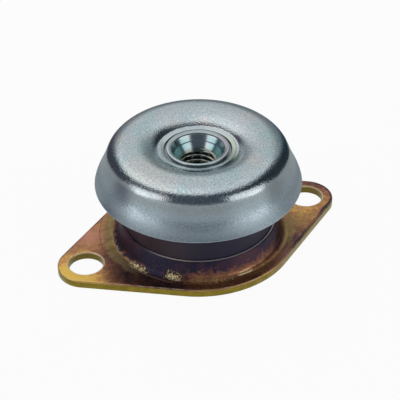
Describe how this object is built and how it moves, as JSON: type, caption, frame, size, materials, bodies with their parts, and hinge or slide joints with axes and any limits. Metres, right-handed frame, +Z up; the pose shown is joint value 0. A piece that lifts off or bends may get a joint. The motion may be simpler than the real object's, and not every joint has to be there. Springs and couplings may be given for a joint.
{
  "type": "rubber anti-vibration mount",
  "caption": "Captive bell mount: a pressed cap with a threaded hub, bonded by rubber to a lozenge-shaped flange with a raised boss and fixing holes.",
  "frame": {"origin": "centre of the seat face, under the middle of the hub", "axes": "+Z up along the hub's thread, out of its mouth; +X along the line of the fixing holes"},
  "size_m": [0.0932, 0.063, 0.0354],
  "materials": {
    "zinc_sheet": "blue-white zinc plating, satin, finely grained",
    "zinc_turned": "blue-white zinc plating on turned steel, bright",
    "rubber": "moulded natural rubber, dark, half matt",
    "yellow_chromate": "yellow chromate on zinc plating, iridescent"
  },
  "bodies": {
    "root": {"cap": "zinc_sheet", "threaded_hub": "zinc_turned", "rubber_body": "rubber", "base_plate": "yellow_chromate", "rebound_washer": "zinc_turned"}
  },
  "joints": []
}
